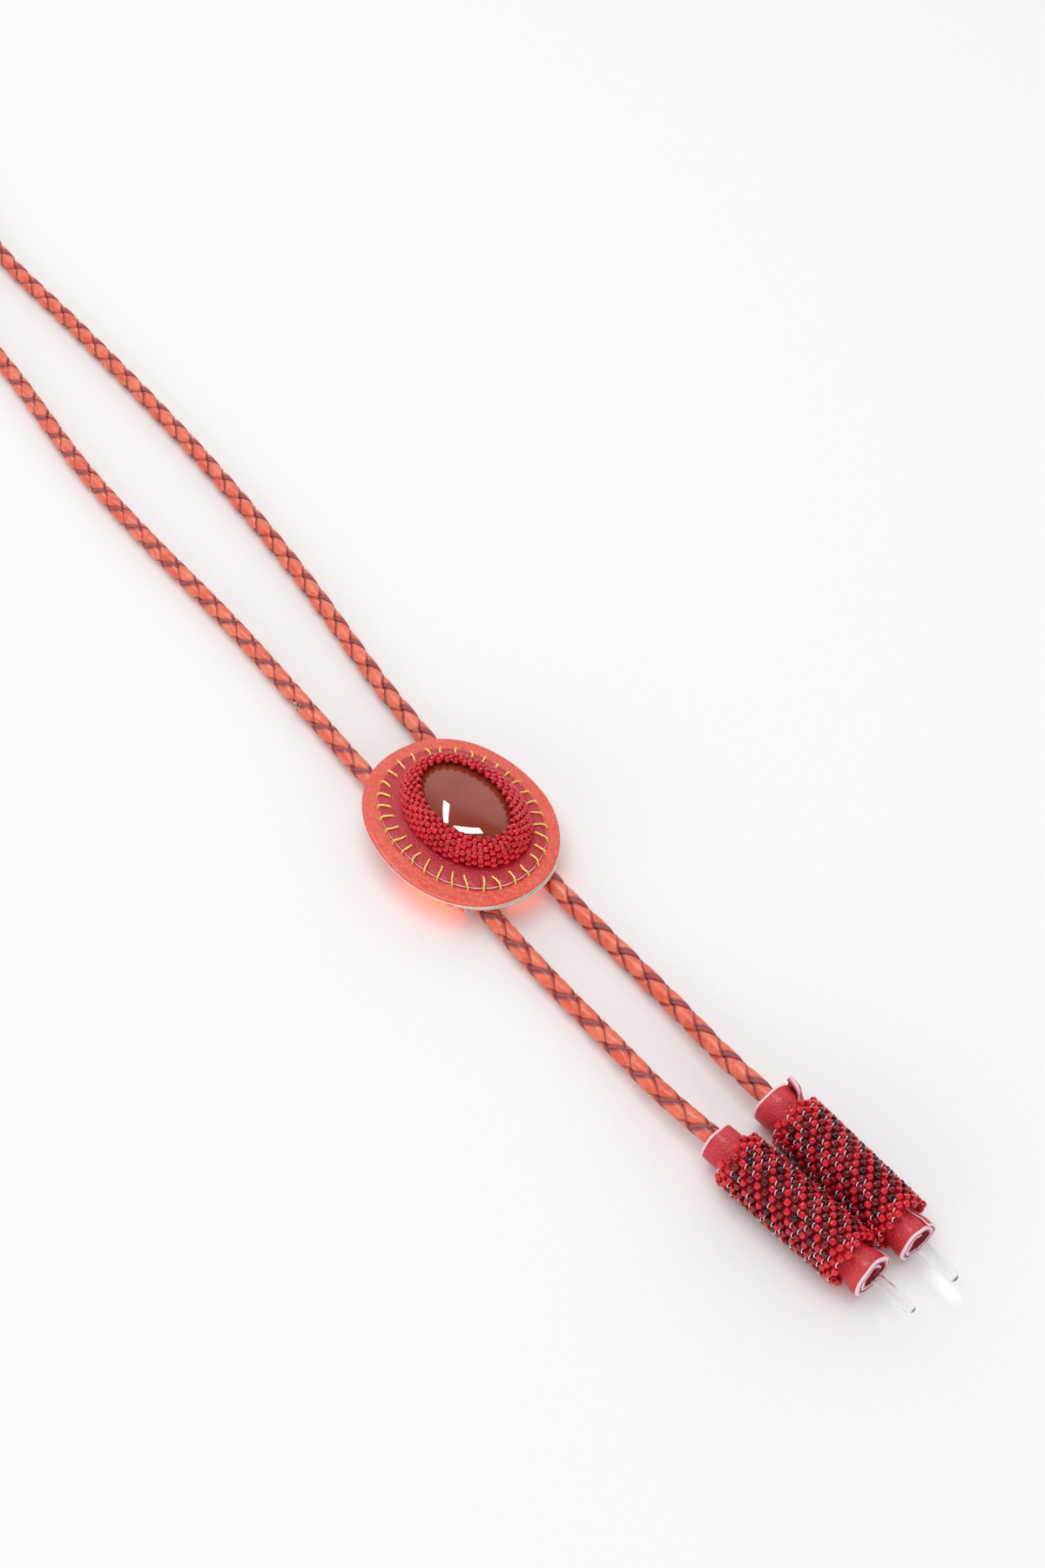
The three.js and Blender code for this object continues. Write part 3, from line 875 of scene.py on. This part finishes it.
def make_tip_beads(side):
    """A sewn tube of beads. Its columns climb round it, so the dark lines wind slowly."""
    dice = random.Random(5 if side == "left" else 6)
    half_row = TUBE_BEAD_PITCH / 2
    slip = -TUBE_TWIST * half_row / TUBE_COLUMNS
    places = []
    tones = []
    darks = []
    middles = {}
    start = TUBE_STARTS[side]
    first = start + BEAD_DIAMETER / 2
    last = TUBE_END - BEAD_DIAMETER / 2
    outer = -1 if side == "left" else 1
    lowest = TUBE_CONTACT - TIP_HEIGHT
    for column in range(TUBE_COLUMNS):
        angle = math.tau * column / TUBE_COLUMNS
        for step in TUBE_STEPS:
            out = start + half_row * step + slip * column
            if (step + column) % 2 or not first <= out <= last:
                continue
            radius = TUBE_BEAD_RADIUS + dice.uniform(-0.06, 0.06) * MM
            radius += TUBE_BULGE * max(0, outer * math.sin(angle))
            away = Vector((math.sin(angle), 0, math.cos(angle)))
            around = Vector((math.cos(angle), 0, -math.sin(angle)))
            middle = Vector((0, -out + dice.uniform(-0.05, 0.05) * MM, 0)) + away * radius
            middle.z = max(middle.z, lowest)
            turned_by = Matrix.Rotation(TIP_TURNS[side], 3, "Z")
            place = on_tip(side, middle)
            inside = (place - BETWEEN_TIPS).dot(ACROSS_TIPS) * outer
            place += ACROSS_TIPS * outer * max(0, TUBE_CONTACT - inside)
            places.append(facing(place, turned_by @ around, turned_by @ away, dice, 0.16,
                                 TUBE_STRETCH))
            tones.append(dice.random())
            plain = min(out - start, TUBE_END - out) < TUBE_PLAIN_END
            darks.append(0.0 if plain or (step + column) // 2 % 2 else 1.0)
            middles[(column, step)] = (place, turned_by @ away, turned_by @ around)
    template = bead_shape(BEAD_LENGTH, BEAD_DIAMETER * TUBE_BEAD_SWELL, BEAD_HOLE)
    mesh = copies(f"{side}_tip_seed_beads", template, places, {"tone": tones, "dark": darks})
    piece(f"{side}_tip_seed_beads", mesh, BEADS, "seed_beads", f"{side}_tip_beads")
    lines = []
    for (column, step), bead in middles.items():
        following = (column + 2, step)
        if column + 2 >= TUBE_COLUMNS:
            following = (column + 2 - TUBE_COLUMNS, step - TUBE_TWIST)
        other = middles.get(following)
        if other and dice.random() < TUBE_DASHES and bead[0].z > TUBE_DASHES_ABOVE:
            lines.append(dash(bead, other, 0.68 * MM))
    mesh = threads(f"{side}_tip_thread", lines, TUBE_THREAD, 1)
    piece(f"{side}_tip_thread", mesh, WHITE_THREAD, "seed_beads")


def make_roll(side, start_angle, flap):
    """A strip of leather wound twice round the rod and the cord's end."""
    dice = random.Random(3 if side == "left" else 4)
    phases = [dice.uniform(0, math.tau) for _ in range(4)]

    def put(x, y, z):
        turn = ROLL_TURNS * (x + 1) / 2
        out = ROLL_LENGTH * (1 - y) / 2
        to_end = min(1, min(turn, ROLL_TURNS - turn) / ROLL_SKIVE)
        lift = 0.0
        if flap and turn > ROLL_TURNS - FLAP_TURN and out < FLAP_LENGTH:
            lift = ((turn - ROLL_TURNS + FLAP_TURN) / FLAP_TURN) ** 1.2
            lift *= 1 - (out / FLAP_LENGTH) ** 2
        wall = ROLL_EDGE + (ROLL_LEATHER - ROLL_EDGE) * to_end
        wall = max(wall, ROLL_LEATHER * min(1, 2.5 * lift))
        radius = ROLL_BORE + ROLL_PITCH * turn + wall * z
        under = min(1, max(0, out - TUBE_STARTS[side] + 1.5 * MM) / (2 * MM))
        under *= min(1, max(0, TUBE_END + 1.5 * MM - out) / (2 * MM))
        radius -= ROLL_SQUEEZE * under * (turn / ROLL_TURNS)
        near, far = ROLL_GROWTH[side]
        radius *= 1 + (near + (far - near) * out / ROLL_LENGTH) * (1 - 0.8 * under)
        ends = max(0, abs(y) - 0.9) / 0.1
        angle = start_angle + math.tau * turn
        uneven = math.sin(2 * angle + phases[0]) + 0.6 * math.sin(5 * angle + phases[1])
        out += uneven * 0.12 * MM * ends * math.copysign(1, -y)
        inward = ROLL_TURNS - turn
        out += ROLL_RECESS * inward * ends * (0.5 if y > 0 else -1)
        radius += FLAP_LIFT * lift
        angle -= FLAP_TURN * lift
        point = Vector((radius * math.cos(angle), -out, radius * math.sin(angle)))
        return on_tip(side, point), float(abs(y) > 0.999 or x > 0.999), z

    shape = bend_to_shape(strap(120, 44), put, "edge", "through")
    return piece(f"{side}_tip_leather", to_mesh(shape, f"{side}_tip_leather"), ROLLED,
                 "crimson_leather", f"{side}_tip_roll")


def make_rod(side):
    start = CORD_SOCKET + 0.3 * MM
    end = ROLL_LENGTH + ROD_PROTRUSION
    profile = [(0, end)]
    for step in range(1, 13):
        angle = math.pi / 2 * step / 12
        profile.append((ROD_RADIUS * math.sin(angle), end - ROD_RADIUS * (1 - math.cos(angle))))
    profile += [(ROD_RADIUS, start + (end - start) * share) for share in (0.75, 0.5, 0.25)]
    profile += [(ROD_RADIUS, start), (0, start)]

    def put(x, y, z):
        return on_tip(side, Vector((x, -z, y))), max(0, 1 - (end - z) / ROD_RADIUS)

    shape = bend_to_shape(turned(profile, 48), put, "point")
    return piece(f"{side}_glass_rod", to_mesh(shape, f"{side}_glass_rod"), GLASS,
                 "clear_glass", f"{side}_tip_rod")


def make_keeper():
    """The strap behind the slide, from its solid, with softened edges."""
    shape = bmesh.new()
    shape.from_mesh(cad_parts["keeper"].data)
    bmesh.ops.remove_doubles(shape, verts=shape.verts[:], dist=0.001 * MM)
    bmesh.ops.dissolve_limit(shape, angle_limit=math.radians(1), verts=shape.verts[:],
                             edges=shape.edges[:])
    bmesh.ops.triangulate(shape, faces=[face for face in shape.faces if len(face.verts) > 4])
    mark = shape.loops.layers.float.new("edge")
    for face in shape.faces:
        for corner in face.loops:
            corner[mark] = float(abs(face.normal.y) > 0.6)
    mesh = to_mesh(shape, "keeper_strap")
    made = piece("keeper_strap", mesh, CORAL, "coral_leather", "keeper")
    for face in mesh.polygons:
        face.use_smooth = False
    bevel = made.modifiers.new("soft_edges", "BEVEL")
    bevel.width = 0.12 * MM
    bevel.segments = 2
    bevel.limit_method = "ANGLE"
    return made


def make_floor():
    shape = bmesh.new()
    bmesh.ops.create_grid(shape, x_segments=1, y_segments=1, size=3.0)
    mesh = to_mesh(shape, "floor")
    mesh.transform(Matrix.Translation(-FLOOR_GAP * UP))
    floor = bpy.data.objects.new("floor", mesh)
    bpy.context.scene.collection.objects.link(floor)
    mesh.materials.append(floor_finish())


def light(name, place, turn, size, power, tint=(1.0, 1.0, 1.0), lights=True, gleams=True):
    """A flat lamp that faces straight down, turned by so many degrees. It may leave out the
    light on dull surfaces, or its own reflection in glossy ones."""
    data = bpy.data.lights.new(name, "AREA")
    data.shape = "RECTANGLE"
    data.size, data.size_y = size
    data.energy = power
    data.color = tint
    lamp = bpy.data.objects.new(name, data)
    lamp.location = place
    lamp.rotation_euler.z = math.radians(turn)
    lamp.visible_diffuse = lights
    lamp.visible_glossy = gleams
    bpy.context.scene.collection.objects.link(lamp)


def make_lights():
    """Pale walls with a dim ceiling, a wide soft lamp, and two lamps that the stone and the
    beads reflect. Two small ones under the slide stand for the light that its coral leather
    throws on the table."""
    world = bpy.data.worlds.new("studio")
    world.use_nodes = True
    bpy.context.scene.world = world
    bpy.context.scene.view_settings.view_transform = "Standard"
    room = Nodes(world.node_tree)
    way = room.node("ShaderNodeTexCoord", {}, {}, "Generated")
    height = room.node("ShaderNodeSeparateXYZ", {}, {0: way}, "Z")
    behind = room.node("ShaderNodeVectorMath", {"operation": "DOT_PRODUCT"},
                       {0: way, 1: FAR_WALL}, "Value")
    near = 1.25 * (1 - height.ramp(0.45, 0.65)) * (1 - behind.ramp(-0.4, 0.4))
    far = 0.9 * behind.ramp(0.25, 0.65) * (1 - height.ramp(0.84, 0.90))
    strength = near + far + 0.2
    world.node_tree.links.new(strength.socket, world.node_tree.nodes["Background"].inputs["Strength"])
    world.node_tree.nodes["Background"].inputs["Color"].default_value = (1, 1, 1, 1)
    light("strip_lamp", (-0.095, 1.315, 2.25), 25, (0.94, 0.13), 12.0, lights=False)
    light("square_lamp", (-0.043, 0.72, 2.25), -18, (0.735, 0.30), 22.0, lights=False)
    light("soft_ceiling_lamp", (-0.2, 0.2, 1.6), 0, (1.6, 1.6), 14.8, gleams=False)
    light("glow_lamp", (-0.0131, -0.0080, 0.0026), 16.6, (0.003, 0.012), 0.00036, GLOW_TINT)
    light("blush_lamp", (0.004, -0.0185, 0.003), 0, (0.014, 0.004), 0.00024, BLUSH_TINT)


CORAL = coral_leather()
BEADS = bead_glass()
# Rolled leather: the crimson finish with weaker painted crease shade
ROLLED = crimson_leather("rolled_leather", (196, 20, 40), (220, 48, 62), 0.25)
GLASS = clear_glass()
WHITE_THREAD = thread_finish("white_thread", (244, 214, 214), (255, 250, 248), 0.0, 0.3)

make_camera()
weave_cord(CordLine(cord_route()))
fray_cord()
make_keeper()
leather_oval("back_oval", "slide_back_leather", 11, BACK_SHIFT, BACK_NARROWER, BACK_DROOP, 1)
leather_oval("top_oval", "slide_top_leather", 12, Vector(), 0.0, 0.0, 0)
stitches = even_angles(crimson_outline, STITCHES)
make_crimson(stitches)
make_stitches(stitches)
make_stone()
make_bezel()
for tip in ("left", "right"):
    make_roll(tip, 1.0 if tip == "right" else 0.2, tip == "right")
    make_tip_beads(tip)
    make_rod(tip)
make_floor()
make_lights()
